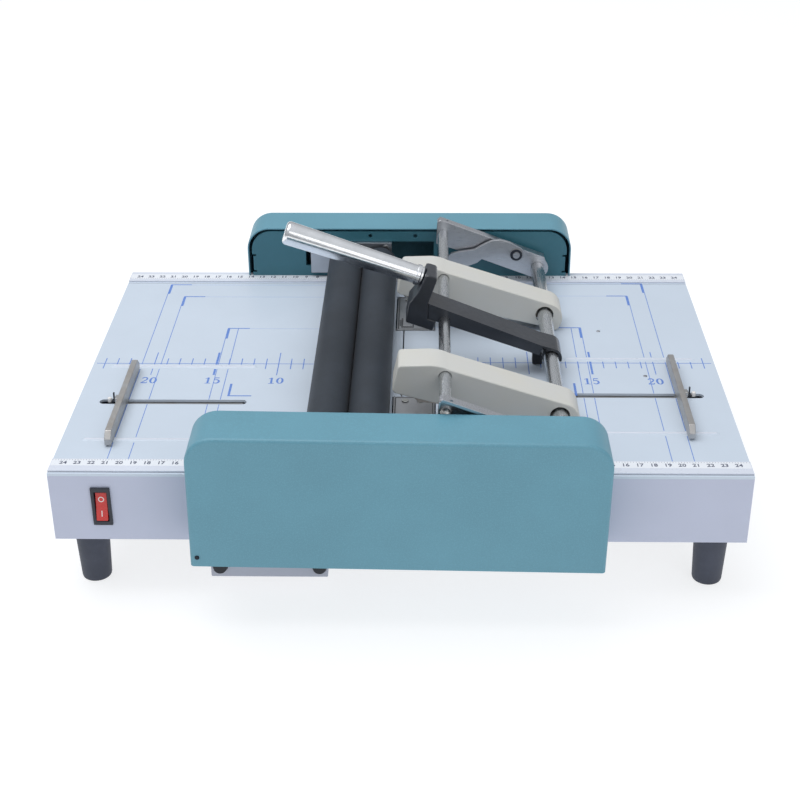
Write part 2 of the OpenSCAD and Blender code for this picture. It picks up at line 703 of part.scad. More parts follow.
module trip_lever() color("gray") difference() {
  union() {
    along_y(link_y - 5, link_y - 2.4) {
      translate([trip_pivot[0] - 4, trip_pivot[1]]) square([8, trip_pin[1] - trip_pivot[1]]);
      translate(trip_pivot) circle(d = 9);
      translate(trip_pin) circle(d = 8);
    }
    rod_y(trip_pin[0], trip_pin[1], 4, link_y - 3, link_y + 2.2);
  }
  rod_y(trip_pivot[0], trip_pivot[1], 6 + 2 * fit, link_y - 8, link_y + 8);
}

// ---- stapler heads ----------------------------------------------------------------------------

// Side profile of a head, grown or shrunk by g through its own points
module head_profile() polygon(concat(
  arc([0.9, 157.6], 3.2, 172, 95, 4), [[19.7, 161.4]], arc([21, 131], 30.4, 88, 62, 5),
  arc([117.5, 116.2], 14, 66, -50, 9), [[110, 110.4], [24.6, 130.6], [-3.8, 138.1], [-6.2, 140.6]]));

module head_hollow() polygon([[-1.4, 120], [-1.2, 156], [1, 158.8], [20.4, 159.2], [35.5, 155.6],
  [112, 129], [112, 90]]);

module head_cover(y) difference() {
  along_y(y - head_w / 2, y + head_w / 2) head_profile();
  along_y(y - head_w / 2 + 2, y + head_w / 2 - 2) {
    head_hollow();
    translate([hinge_x, hinge_z]) circle(r = 8.6);
    translate([100, 90]) square([25.1, 30]);
  }
  rod_y(hinge_x, hinge_z, 14.8, y - head_w, y + head_w);
  rod_y(press_x, press_z, press_d + 0.6, y - head_w, y + head_w);
}

module front_head_cover() color(cream) head_cover(front_head_y);
module rear_head_cover() color(cream) head_cover(rear_head_y);

// Driver block on the press shaft, with the blade that drives the staple
module driver(y) difference() {
  union() {
    along_y(y - 6, y + 6)
      polygon([[2, 148], [28, 145.7], [39.4, 145.7], [39.4, 152.2], [27, 156.9], [2, 156.9]]);
    span([2, y - 6, 135.8], [3, y + 6, 150]);
  }
  rod_y(press_x, press_z, press_d + 0.4, y - 10, y + 10);
}

module front_driver() color(steel) driver(front_head_y);
module rear_driver() color(steel) driver(rear_head_y);

// Staple magazine, hinged on the shaft behind it
module magazine(y) difference() {
  union() {
    along_y(y - 7, y + 7)
      polygon([[-0.6, 133.6], [-0.6, 137.6], [98, 125.5], [98, 118.3], [13, 127.6], [9.6, 131]]);
    for (e = [-7, 4.5]) along_y(y + e, y + e + 2.5) {
      polygon([[96, 118.6], [96, 125.7], [hinge_x, 127.2], [hinge_x, 112.8]]);
      translate([hinge_x, hinge_z]) circle(r = 7.2);
    }
  }
  // channel for the staple stick
  along_y(y - 5.6, y + 5.6) polygon([[5, 134.6], [5, 150], [97, 140], [97, 120.4], [14, 129.4]]);
  span([0.6, y - 6.3, 100], [3.4, y + 6.3, 150]);
  rod_y(hinge_x, hinge_z, hinge_d + 2 * fit, y - 10, y + 10);
}

module front_magazine() color("rosybrown") magazine(front_head_y);
module rear_magazine() color("rosybrown") magazine(rear_head_y);

// ---- paper guides ----------------------------------------------------------------------------------

// Guide bar across the table on a slider under it; s is -1 on the left, 1 on the right
module guide_bar(s, slot_y) {
  bar_h = 11;
  bar_t = 4.8;
  gap = 0.4;
  cham = 5;
  y0 = slot_y + guide_shift - guide_l / 2;
  // bar with chamfered ends
  translate([s * guide_x - bar_t / 2, 0, 0]) rotate([90, 0, 90]) linear_extrude(bar_t)
    polygon([[y0, deck_top + gap + 0.8], [y0, deck_top + bar_h - cham], [y0 + cham, deck_top + bar_h],
             [y0 + guide_l - cham, deck_top + bar_h], [y0 + guide_l, deck_top + bar_h - cham],
             [y0 + guide_l, deck_top + gap + 0.8]]);
  // stem through the slot
  span([s * guide_x - bar_t / 2, slot_y - slot_w / 2 + 0.5, deck_low - 1],
       [s * guide_x + bar_t / 2, slot_y + slot_w / 2 - 0.5, deck_top + 2]);
  // slider under the table, reaching inwards
  span([s > 0 ? 122 : -guide_x - 8, slot_y - 8, deck_low - 3.6],
       [s > 0 ? guide_x + 8 : -122, slot_y + 8, deck_low - 0.4]);
  // clamp foot outside the bar
  span([s > 0 ? guide_x + 2.4 : -guide_x - 7, slot_y - 3, deck_low - 1],
       [s > 0 ? guide_x + 7 : -guide_x - 2.4, slot_y + 3, deck_top + 4.5]);
}

module left_guide_bar() color("darkgray") guide_bar(-1, left_slot_y);
module right_guide_bar() color("darkgray") guide_bar(1, right_slot_y);

chassis();
bottom_plate();
left_deck();
centre_plate();
right_deck();
front_ruler_rail();
rear_ruler_rail();
front_side_frame();
rear_side_frame();
front_side_cover();
rear_side_cover();
cover_screws();
front_bearing_plate();
rear_bearing_plate();
bushes();
plate_screws();
front_anvil();
rear_anvil();
hinge_shaft();
lever_stop();
switch_bezel();
power_inlet();
gearmotor();
motor_tray();
tray_buttons();
knife_posts();
knife_solenoid();
rocker_bracket();
feet();
solenoid_plunger();
return_springs();
left_roller();
left_roller_shaft();
left_roller_gear();
right_roller();
right_roller_shaft();
right_roller_gear();
idler_gear();
motor_pinion();
lever_arm();
handle_block();
handle_collar();
handle_tube();
press_shaft();
front_side_arm();
rear_side_arm();
retaining_clips();
arc_link();
trip_lever();
front_head_cover();
rear_head_cover();
front_driver();
rear_driver();
front_magazine();
rear_magazine();
left_guide_bar();
right_guide_bar();
power_rocker();
fold_knife();
knife_rocker();
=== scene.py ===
import json
import math

import bmesh
import bpy
from mathutils import Matrix, Vector


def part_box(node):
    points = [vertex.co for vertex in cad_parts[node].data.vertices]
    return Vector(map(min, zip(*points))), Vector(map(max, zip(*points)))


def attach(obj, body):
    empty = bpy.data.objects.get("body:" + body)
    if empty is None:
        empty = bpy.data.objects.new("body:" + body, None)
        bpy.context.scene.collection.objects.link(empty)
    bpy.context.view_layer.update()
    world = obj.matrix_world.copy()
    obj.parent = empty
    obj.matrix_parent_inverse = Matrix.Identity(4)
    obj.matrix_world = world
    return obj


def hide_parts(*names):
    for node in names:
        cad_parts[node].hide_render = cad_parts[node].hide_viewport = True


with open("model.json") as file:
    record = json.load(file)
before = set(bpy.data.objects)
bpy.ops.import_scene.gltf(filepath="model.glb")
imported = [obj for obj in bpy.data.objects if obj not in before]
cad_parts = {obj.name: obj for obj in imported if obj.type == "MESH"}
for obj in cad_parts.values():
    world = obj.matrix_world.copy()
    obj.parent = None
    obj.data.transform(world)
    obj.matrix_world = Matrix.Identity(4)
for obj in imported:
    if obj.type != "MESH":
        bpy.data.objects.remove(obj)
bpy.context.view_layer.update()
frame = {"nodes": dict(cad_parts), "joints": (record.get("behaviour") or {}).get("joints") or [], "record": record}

MM = 0.001
UP = Vector((0, 0, 1))
scene = bpy.context.scene
BODY_OF = {node: body for body, nodes in frame["record"]["behaviour"]["bodies"].items() for node in nodes}
# How far the slots lie behind the middle of their guide bars, in millimetres
GUIDE_SHIFT = 7.3
SLOT_OF = {part["node"]: part["material_slot"] for part in frame["record"]["subparts"]}


# ---- camera, light and floor -------------------------------------------------

def add_camera():
    """The photograph's viewpoint: in front, a little to the right, looking down on the table."""
    yaw, pitch, roll = math.radians(1.24), math.radians(28.70), math.radians(-0.37)
    turn = (Matrix.Rotation(yaw, 4, "Z") @ Matrix.Rotation(math.pi / 2 - pitch, 4, "X")
            @ Matrix.Rotation(roll, 4, "Z"))
    data = bpy.data.cameras.new("camera")
    data.sensor_width = 36
    data.lens = 67.46
    camera = bpy.data.objects.new("camera", data)
    camera.matrix_world = Matrix.Translation((0.0203, -1.0722, 0.6574)) @ turn
    scene.collection.objects.link(camera)
    scene.camera = camera


def add_area_light(name, place, size, power, colour=(1, 1, 1)):
    """A soft square light that faces the middle of the table."""
    data = bpy.data.lights.new(name, "AREA")
    data.shape = "RECTANGLE"
    data.size, data.size_y = size
    data.energy = power
    data.color = colour
    light = bpy.data.objects.new(name, data)
    aim = Vector((0, 0, 0.1)) - Vector(place)
    light.matrix_world = Matrix.Translation(place) @ aim.to_track_quat("-Z", "Y").to_matrix().to_4x4()
    scene.collection.objects.link(light)


def add_studio():
    world = bpy.data.worlds.new("studio")
    world.use_nodes = True
    background = world.node_tree.nodes["Background"]
    background.inputs["Color"].default_value = (0.93, 0.96, 1.0, 1)
    # brighter overhead than near the horizon, like a tent lit from above
    nodes, links = world.node_tree.nodes, world.node_tree.links
    split = nodes.new("ShaderNodeSeparateXYZ")
    links.new(nodes.new("ShaderNodeTexCoord").outputs["Generated"], split.inputs["Vector"])
    rise = nodes.new("ShaderNodeMapRange")
    rise.inputs["To Min"].default_value = 0.30
    rise.inputs["To Max"].default_value = 0.78
    links.new(split.outputs["Z"], rise.inputs["Value"])
    links.new(rise.outputs["Result"], background.inputs["Strength"])
    scene.world = world
    scene.view_settings.view_transform = "Standard"
    add_area_light("key_light", (-0.5, 0.1, 1.7), (1.5, 1.5), 17)
    add_area_light("front_light", (0.9, -1.6, 1.0), (1.2, 1.2), 4.6)
    mesh = bpy.data.meshes.new("floor")
    half = 12
    mesh.from_pydata([(-half, -half, 0), (half, -half, 0), (half, half, 0), (-half, half, 0)], [], [(0, 1, 2, 3)])
    floor = bpy.data.objects.new("floor", mesh)
    scene.collection.objects.link(floor)
    look = Look("floor")
    look.set(rough=0.9, Emission_Color=(1, 1, 1, 1), Emission_Strength=0.72)
    look.feed("Base Color", look.mixed(look.noise(900, 2), (0.34, 0.35, 0.36), (0.37, 0.38, 0.39)))
    mesh.materials.append(look.material)


# ---- materials ---------------------------------------------------------------

class Look:
    """A node material in the making. Places are object coordinates, in metres."""

    def __init__(self, name):
        self.material = bpy.data.materials.new(name)
        self.material.use_nodes = True
        self.nodes = self.material.node_tree.nodes
        self.links = self.material.node_tree.links
        self.shader = self.nodes["Principled BSDF"]
        self.place = self.nodes.new("ShaderNodeTexCoord").outputs["Object"]
        self.normal = None

    def set(self, colour=None, rough=None, metal=None, **sockets):
        """Constants, straight on the shader's sockets."""
        if colour:
            self.shader.inputs["Base Color"].default_value = (*colour, 1)
        if rough is not None:
            self.shader.inputs["Roughness"].default_value = rough
        if metal is not None:
            self.shader.inputs["Metallic"].default_value = metal
        for name, value in sockets.items():
            self.shader.inputs[name.replace("_", " ")].default_value = value

    def stretched(self, x, y, z):
        node = self.nodes.new("ShaderNodeMapping")
        node.inputs["Scale"].default_value = (x, y, z)
        self.links.new(self.place, node.inputs["Vector"])
        return node.outputs["Vector"]

    def noise(self, size, detail=3, rough=0.55, place=None):
        """Noise with features of about that size, in millimetres."""
        node = self.nodes.new("ShaderNodeTexNoise")
        node.inputs["Scale"].default_value = 1 / (size * MM)
        node.inputs["Detail"].default_value = detail
        node.inputs["Roughness"].default_value = rough
        self.links.new(place or self.place, node.inputs["Vector"])
        return node.outputs["Fac"]

    def cells(self, size):
        node = self.nodes.new("ShaderNodeTexVoronoi")
        node.feature = "SMOOTH_F1"
        node.inputs["Scale"].default_value = 1 / (size * MM)
        self.links.new(self.place, node.inputs["Vector"])
        return node.outputs["Distance"]

    def ranged(self, value, low, high, to_low, to_high):
        node = self.nodes.new("ShaderNodeMapRange")
        for name, number in (("From Min", low), ("From Max", high), ("To Min", to_low), ("To Max", to_high)):
            node.inputs[name].default_value = number
        self.links.new(value, node.inputs["Value"])
        return node.outputs["Result"]

    def mixed(self, factor, colour_a, colour_b):
        node = self.nodes.new("ShaderNodeMix")
        node.data_type = "RGBA"
        self.links.new(factor, node.inputs["Factor"])
        for socket, colour in ((node.inputs[6], colour_a), (node.inputs[7], colour_b)):
            if isinstance(colour, tuple):
                socket.default_value = (*colour, 1)
            else:
                self.links.new(colour, socket)
        return node.outputs[2]

    def bump(self, height, distance, strength=1.0):
        """Raises the surface by height times distance, in millimetres."""
        node = self.nodes.new("ShaderNodeBump")
        node.inputs["Distance"].default_value = distance * MM
        node.inputs["Strength"].default_value = strength
        self.links.new(height, node.inputs["Height"])
        if self.normal:
            self.links.new(self.normal, node.inputs["Normal"])
        self.normal = node.outputs["Normal"]
        self.links.new(self.normal, self.shader.inputs["Normal"])

    def feed(self, socket, value):
        self.links.new(value, self.shader.inputs[socket])


def shade(colour, amount):
    return tuple(min(1.0, c * amount) for c in colour)


def paint(name, colour, rough, grain, depth, mottle=0.06, cloud=45, coat=0.0):
    """Enamel or powder coat: cloudy colour, uneven gloss and a fine grain."""
    look = Look(name)
    look.set(**({"Coat_Weight": coat, "Coat_Roughness": 0.12} if coat else {}))
    clouds = look.ranged(look.noise(cloud, 4), 0.3, 0.7, 0, 1)
    look.feed("Base Color", look.mixed(clouds, shade(colour, 1 - mottle), shade(colour, 1 + mottle)))
    look.feed("Roughness", look.ranged(look.noise(cloud / 5, 5, 0.65), 0.3, 0.7, rough - 0.06, rough + 0.08))
    look.bump(look.noise(grain, 4, 0.6), depth)
    return look.material


def powder_coat(name, colour, rough):
    """Textured powder coat: small raised drops with a fine grain between them."""
    look = Look(name)
    drops = look.cells(1.1)
    fine = look.noise(1.0, 4, 0.7)
    specks = look.ranged(fine, 0.48, 0.66, 0, 1)
    tinted = look.mixed(look.ranged(look.noise(60, 4), 0.3, 0.7, 0, 1), shade(colour, 0.95), shade(colour, 1.05))
    look.feed("Base Color", look.mixed(look.ranged(specks, 0, 1, 0, 0.3), tinted, shade(colour, 1.5)))
    look.feed("Roughness", look.ranged(fine, 0.3, 0.7, rough - 0.06, rough + 0.08))
    look.bump(drops, 0.07, 0.55)
    look.bump(fine, 0.03, 0.6)
    return look.material


def steel(name, colour, rough, grain_axis="x", grain=0.25, stain=None, depth=0.004):
    """Machined or rolled steel with a directional grain and faint stains."""
    look = Look(name)
    look.set(metal=1.0)
    along = {"x": (0.03, 1, 1), "y": (1, 0.03, 1), "z": (1, 1, 0.03), "none": (1, 1, 1)}[grain_axis]
    brushed = look.noise(grain, 3, 0.6, look.stretched(*along))
    patches = look.noise(14, 4, 0.6)
    spread = look.ranged(patches, 0.35, 0.7, 0, 1)
    look.feed("Base Color", look.mixed(spread, colour, stain or shade(colour, 0.88)))
    look.feed("Roughness", look.ranged(brushed, 0.25, 0.75, rough - 0.07, rough + 0.1))
    look.bump(brushed, depth)
    return look.material


def rubber(name, colour, rough, grain):
    """Ground rubber: fine pores, dusty patches and a soft sheen."""
    look = Look(name)
    look.set(Sheen_Weight=0.05, Sheen_Roughness=0.5, Specular_IOR_Level=0.35)
    dust = look.ranged(look.noise(30, 5, 0.65), 0.4, 0.75, 0, 1)
    pores = look.noise(grain, 3, 0.6)
    look.feed("Base Color", look.mixed(dust, colour, shade(colour, 1.35)))
    look.feed("Roughness", look.ranged(pores, 0.3, 0.7, rough - 0.07, rough + 0.07))
    look.bump(pores, 0.02)
    return look.material


def plastic(name, colour, rough, grain, depth, age=None, coat=0.0):
    """Moulded plastic: a fine spark texture and slightly aged patches."""
    look = Look(name)
    look.set(Subsurface_Weight=0.0, **({"Coat_Weight": coat, "Coat_Roughness": 0.1} if coat else {}))
    patches = look.ranged(look.noise(35, 4, 0.6), 0.35, 0.7, 0, 1)
    look.feed("Base Color", look.mixed(patches, colour, age or shade(colour, 0.95)))
    fine = look.noise(grain, 3, 0.6)
    look.feed("Roughness", look.ranged(fine, 0.3, 0.7, rough - 0.05, rough + 0.07))
    look.bump(fine, depth)
    return look.material


def printed_ink(name, colour):
    """Screen-printed ink: slightly uneven cover."""
    look = Look(name)
    look.set(rough=0.45)
    thin = look.ranged(look.noise(1.2, 4, 0.6), 0.35, 0.7, 0, 1)
    look.feed("Base Color", look.mixed(thin, colour, tuple(c + (0.75 - c) * 0.18 for c in colour)))
    look.bump(look.noise(0.6), 0.004)
    return look.material


def make_looks():
    """One material for each of the record's slots, and a few for the pieces made here."""
    warm_wear = (0.46, 0.39, 0.33)
    return {
        "body_paint": paint("body_paint", (0.50, 0.535, 0.665), 0.38, 1.4, 0.006, 0.02),
        "deck_paint": paint("deck_paint", (0.575, 0.65, 0.745), 0.34, 1.6, 0.005, 0.02, 70),
        "rail_paint": paint("rail_paint", (0.66, 0.70, 0.79), 0.3, 1.6, 0.004, 0.02),
        "cover_paint": powder_coat("cover_paint", (0.117, 0.297, 0.382), 0.42),
        "frame_paint": paint("frame_paint", (0.045, 0.165, 0.215), 0.36, 0.8, 0.012, 0.06),
        "tray_paint": paint("tray_paint", (0.42, 0.44, 0.52), 0.4, 1.2, 0.008, 0.03),
        "zinc_plate": steel("zinc_plate", (0.55, 0.57, 0.61), 0.36, "none", 0.5),
        "arm_steel": steel("arm_steel", (0.60, 0.61, 0.64), 0.3, "x", 0.3, (0.56, 0.57, 0.60), 0.0015),
        "anvil_steel": steel("anvil_steel", (0.52, 0.53, 0.55), 0.34, "y", 0.3),
        "shaft_steel": steel("shaft_steel", (0.62, 0.64, 0.66), 0.24, "y", 0.35, (0.59, 0.61, 0.63), 0.001),
        "guide_steel": steel("guide_steel", (0.50, 0.50, 0.50), 0.42, "y", 0.35, (0.45, 0.42, 0.39), 0.01),
        "gear_steel": steel("gear_steel", (0.30, 0.31, 0.33), 0.4, "none", 0.3),
        "spring_steel": steel("spring_steel", (0.22, 0.22, 0.24), 0.35, "none", 0.3),
        "screw_steel": steel("screw_steel", (0.55, 0.55, 0.53), 0.32, "none", 0.3),
        "magazine_steel": steel("magazine_steel", (0.36, 0.31, 0.27), 0.36, "x", 0.3, warm_wear),
        "bronze": steel("bronze", (0.42, 0.28, 0.14), 0.4, "none", 0.3),
        "pinion_brass": steel("pinion_brass", (0.62, 0.46, 0.18), 0.35, "none", 0.3),
        "chrome": steel("chrome", (0.88, 0.89, 0.91), 0.17, "x", 0.5, depth=0.0008),
        "black_paint": paint("black_paint", (0.014, 0.018, 0.027), 0.36, 0.7, 0.01, 0.2, 18, 0.45),
        "black_screw": steel("black_screw", (0.03, 0.035, 0.045), 0.45, "none", 0.3),
        "motor_case": paint("motor_case", (0.035, 0.037, 0.042), 0.45, 0.8, 0.01, 0.1),
        "roller_rubber": rubber("roller_rubber", (0.020, 0.027, 0.038), 0.55, 0.45),
        "foot_rubber": rubber("foot_rubber", (0.050, 0.057, 0.080), 0.62, 0.6),
        "rubber_black": rubber("rubber_black", (0.022, 0.024, 0.030), 0.6, 0.5),
        "head_plastic": plastic("head_plastic", (0.61, 0.61, 0.585), 0.42, 0.5, 0.012, (0.62, 0.61, 0.56)),
        "black_plastic": plastic("black_plastic", (0.014, 0.018, 0.030), 0.34, 0.5, 0.006),
        "red_plastic": plastic("red_plastic", (0.60, 0.018, 0.012), 0.22, 2.0, 0.003, (0.50, 0.012, 0.010), 0.4),
        "print_blue": printed_ink("print_blue", (0.062, 0.19, 0.60)),
        "print_faint": printed_ink("print_faint", (0.36, 0.47, 0.76)),
        "tape_white": paint("tape_white", (0.80, 0.83, 0.88), 0.3, 1.0, 0.003, 0.015),
        "tape_ink": printed_ink("tape_ink", (0.045, 0.06, 0.12)),
        # white print on the switch, and also the painted glint on the guide clamping screws
        "mark_white_and_painted_glint": printed_ink("mark_white_and_painted_glint", (0.80, 0.78, 0.76)),
        "groove_grey": printed_ink("groove_grey", (0.28, 0.31, 0.37)),
        # painted shade: near-black ink for the shaded slots around the anvil plates
        "groove_painted_shade": printed_ink("groove_painted_shade", (0.015, 0.018, 0.026)),
    }


# ---- meshes ------------------------------------------------------------------

def add_mesh(name, mesh, look, body, replaces=(), sharp=30.0):
    """Links a finished mesh as a piece that rides on a body."""
    mesh.polygons.foreach_set("use_smooth", [True] * len(mesh.polygons))
    mesh.set_sharp_from_angle(angle=math.radians(sharp))
    mesh.materials.clear()
    mesh.materials.append(looks[look])
    piece = bpy.data.objects.new(name, mesh)
    scene.collection.objects.link(piece)
    weighted = piece.modifiers.new("weighted", "WEIGHTED_NORMAL")
    weighted.keep_sharp = True
    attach(piece, body)
    if replaces:
        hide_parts(*replaces)
    return piece


def to_mesh(bm, name):
    mesh = bpy.data.meshes.new(name)
    bm.to_mesh(mesh)
    bm.free()
    return mesh


def cad_bmesh(node):
    """The node's mesh with its points joined and its flat faces whole."""
    bm = bmesh.new()
    bm.from_mesh(frame["nodes"][node].data)
    bmesh.ops.remove_doubles(bm, verts=bm.verts, dist=1e-6)
    bmesh.ops.dissolve_limit(bm, angle_limit=math.radians(0.2), verts=bm.verts, edges=bm.edges)
    bmesh.ops.recalc_face_normals(bm, faces=bm.faces)
    return bm


def corner_edges(bm, least_angle, pick=None):
    """Edges that stand out by more than least_angle degrees, and that pick accepts."""
    least = math.radians(least_angle)
    return [e for e in bm.edges
            if len(e.link_faces) == 2 and e.calc_face_angle() > least and (pick is None or pick(e))]


def round_edges(bm, width, segments=2, least_angle=38, pick=None):
    edges = corner_edges(bm, least_angle, pick)
    if edges:
        bmesh.ops.bevel(bm, geom=edges, offset=width * MM, offset_type="OFFSET", segments=segments,
                        profile=0.5, affect="EDGES", clamp_overlap=False, loop_slide=False)


def close_screw_holes(bm):
    """Closes the small round holes that a screw head covers."""
    walls = [f for f in bm.faces if f.calc_area() < 0.5 * MM * MM and abs(f.normal.y) < 0.1]
    bmesh.ops.delete(bm, geom=walls, context="FACES")
    bmesh.ops.holes_fill(bm, edges=[e for e in bm.edges if e.is_boundary], sides=0)
    bmesh.ops.dissolve_limit(bm, angle_limit=math.radians(0.2), verts=bm.verts, edges=bm.edges)
    bmesh.ops.recalc_face_normals(bm, faces=bm.faces)


def folded_area(bm):
    """Area of the triangles that face away from their own face, in square millimetres."""
    bm.normal_update()
    area = 0
    for loops in bm.calc_loop_triangles():
        a, b, c = (loop.vert.co for loop in loops)
        across = (b - a).cross(c - a)
        if across.dot(loops[0].face.normal) < 0.7 * across.length:
            area += across.length / 2
    return area / MM ** 2


def finished_node(node, width=0.3, wide=None, prepare=None):
    """A piece that stands for a CAD node: the same solid with rounded edges.

    wide is (width, segments, pick) for edges with a larger radius, which are rounded first.
    The radii shrink until hardly any face folds over."""
    for share in (1, 0.75, 0.5, 0.3, 0.15, 0):
        bm = cad_bmesh(node)
        if prepare:
            prepare(bm)
        if wide and share:
            round_edges(bm, wide[0] * share, wide[1], 38, wide[2])
        if width and share:
            round_edges(bm, width * share)
        if not share or folded_area(bm) < 15:
            break
        bm.free()
    slot = SLOT_OF[node]
    return add_mesh(node + ".finished", to_mesh(bm, node + ".finished"), slot, BODY_OF[node], (node,))


def plate(bm, low, high):
    """Adds a box from its lowest to its highest corner, in millimetres."""
    size = Vector(high) - Vector(low)
    middle = (Vector(high) + Vector(low)) / 2
    matrix = Matrix.Translation(middle * MM) @ Matrix.Diagonal((*(size * MM), 1))
    return bmesh.ops.create_cube(bm, size=1, matrix=matrix)


def spun(outline, place, axis, steps=96):
    """A solid of revolution: outline is (radius, height) points, both in millimetres."""
    bm = bmesh.new()
    points = [bm.verts.new((r * MM, 0, h * MM)) for r, h in outline]
    edges = [bm.edges.new(pair) for pair in zip(points, points[1:])]
    bmesh.ops.spin(bm, geom=points + edges, cent=(0, 0, 0), axis=UP, angle=math.tau, steps=steps, use_merge=True)
    bmesh.ops.remove_doubles(bm, verts=bm.verts, dist=1e-7)
    bmesh.ops.recalc_face_normals(bm, faces=bm.faces)
    turn = UP.rotation_difference(Vector(axis).normalized()).to_matrix().to_4x4()
    bmesh.ops.transform(bm, matrix=Matrix.Translation(Vector(place) * MM) @ turn, verts=bm.verts)
    return bm


def box_mm(node):
    low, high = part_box(node)
    return low / MM, high / MM


def deck_level():
    """Height of the table panels, where the ruler rails stand on them."""
    return box_mm("front_ruler_rail")[0].z


def slot_y(guide):
    """Middle of the slot that a paper guide slides in; the bar isn't centred on it."""
    low, high = box_mm(guide)
    return (low.y + high.y) / 2 + GUIDE_SHIFT


# ---- printed marks -----------------------------------------------------------

LIFT = 0.05


class Print:
    """Flat marks printed on a surface at height z, gathered into one mesh."""

    def __init__(self, z):
        self.bm = bmesh.new()
        self.z = z
        self.count = 0

    def bar(self, x0, x1, y0, y1):
        self.count += 1
        top = self.z + LIFT + 0.0004 * (self.count % 40)
        plate(self.bm, (min(x0, x1), min(y0, y1), self.z - 0.02), (max(x0, x1), max(y0, y1), top))

    def stroke(self, points, widths, centre, size):
        """A ribbon through points of the unit box, as wide as widths says at each of them."""
        self.count += 1
        top = self.z + LIFT + 0.0004 * (self.count % 40)
        rims = []
        for i, (point, width) in enumerate(zip(points, widths)):
            before, after = points[max(i - 1, 0)], points[min(i + 1, len(points) - 1)]
            along = Vector((after[0] - before[0], after[1] - before[1])).normalized()
            side = Vector((-along.y, along.x)) * width / 2
            for sign in (1, -1):
                x = centre[0] + (point[0] + sign * side.x) * size
                y = centre[1] + (point[1] + sign * side.y) * size
                rims.append([self.bm.verts.new((x * MM, y * MM, z * MM)) for z in (self.z - 0.02, top)])
        for i in range(len(points) - 1):
            a, b, c, d = rims[2 * i], rims[2 * i + 1], rims[2 * i + 3], rims[2 * i + 2]
            for face in ((a[1], b[1], c[1], d[1]), (d[0], c[0], b[0], a[0]),
                         (a[0], a[1], d[1], d[0]), (c[0], c[1], b[1], b[0])):
                self.bm.faces.new(face)
        for a, b in ((rims[1], rims[0]), (rims[-2], rims[-1])):
            self.bm.faces.new((a[0], a[1], b[1], b[0]))

    def add(self, name, look, body, slot):
        bmesh.ops.recalc_face_normals(self.bm, faces=self.bm.faces)
        return add_mesh(name, to_mesh(self.bm, name), look, body)


def arc_points(centre, radii, start, end, count):
    steps = [math.radians(start + (end - start) * i / count) for i in range(count + 1)]
    return [(centre[0] + radii[0] * math.cos(a), centre[1] + radii[1] * math.sin(a)) for a in steps]


def swelling(count, thin, thick):
    """Stroke widths that are thin at both ends and thick in the middle."""
    return [thin + (thick - thin) * math.sin(math.pi * i / count) for i in range(count + 1)]


def digit_strokes(digit):
    """Strokes of a serif numeral in a box 0.56 wide and 1 high, around its middle."""
    if digit == "0":
        return [(arc_points((0, 0), (0.21, 0.45), 90 + 180 * i, 270 + 180 * i, 14), swelling(14, 0.07, 0.17))
                for i in (0, 1)]
    if digit == "1":
        return [([(0.02, -0.47), (0.02, 0.48)], [0.16, 0.16]), ([(-0.2, -0.465), (0.24, -0.465)], [0.07, 0.07]),
                ([(-0.2, 0.3), (0.02, 0.45)], [0.06, 0.08])]
    if digit == "2":
        hook = arc_points((0, 0.22), (0.2, 0.24), 165, -35, 12)
        return [(hook, swelling(12, 0.09, 0.14)), ([hook[-1], (-0.05, -0.2), (-0.23, -0.42)], [0.13, 0.09, 0.07]),
                ([(-0.24, -0.43), (0.2, -0.43)], [0.13, 0.14]), ([(0.2, -0.43), (0.25, -0.25)], [0.12, 0.03])]
    bowl = arc_points((-0.01, -0.16), (0.22, 0.29), 125, -150, 14)
    return [([(-0.17, 0.43), (0.2, 0.43)], [0.13, 0.12]), ([(-0.15, 0.42), (-0.17, 0.02)], [0.06, 0.06]),
            (bowl, swelling(14, 0.07, 0.16))]


def print_number(marks, number, centre, height=10.0, pitch=0.68):
    """A numeral in spaced serif digits."""
    text = str(number)
    for i, digit in enumerate(text):
        x = centre[0] + (i - (len(text) - 1) / 2) * pitch * height
        for points, widths in digit_strokes(digit):
            marks.stroke(points, widths, (x, centre[1]), height)


def corner_mark(marks, x, y, inward, forward=-1):
    """A thick corner of a sheet outline: one leg inward along X, one leg along Y."""
    leg, thick = 18.5, 1.9
    marks.bar(x, x + inward * leg, y, y - forward * thick * 0.7)
    marks.bar(x, x + inward * thick, y, y + forward * leg)


def long_line(marks, x, y0, y1, gaps, width=0.55):
    """A line along Y that leaves out the ribs and the slot, given as (low, high) stretches."""
    low = y0
    for gap_low, gap_high in sorted(gaps):
        if gap_low > low and gap_low < y1:
            marks.bar(x - width / 2, x + width / 2, low, gap_low)
        low = max(low, gap_high)
    if low < y1:
        marks.bar(x - width / 2, x + width / 2, low, y1)


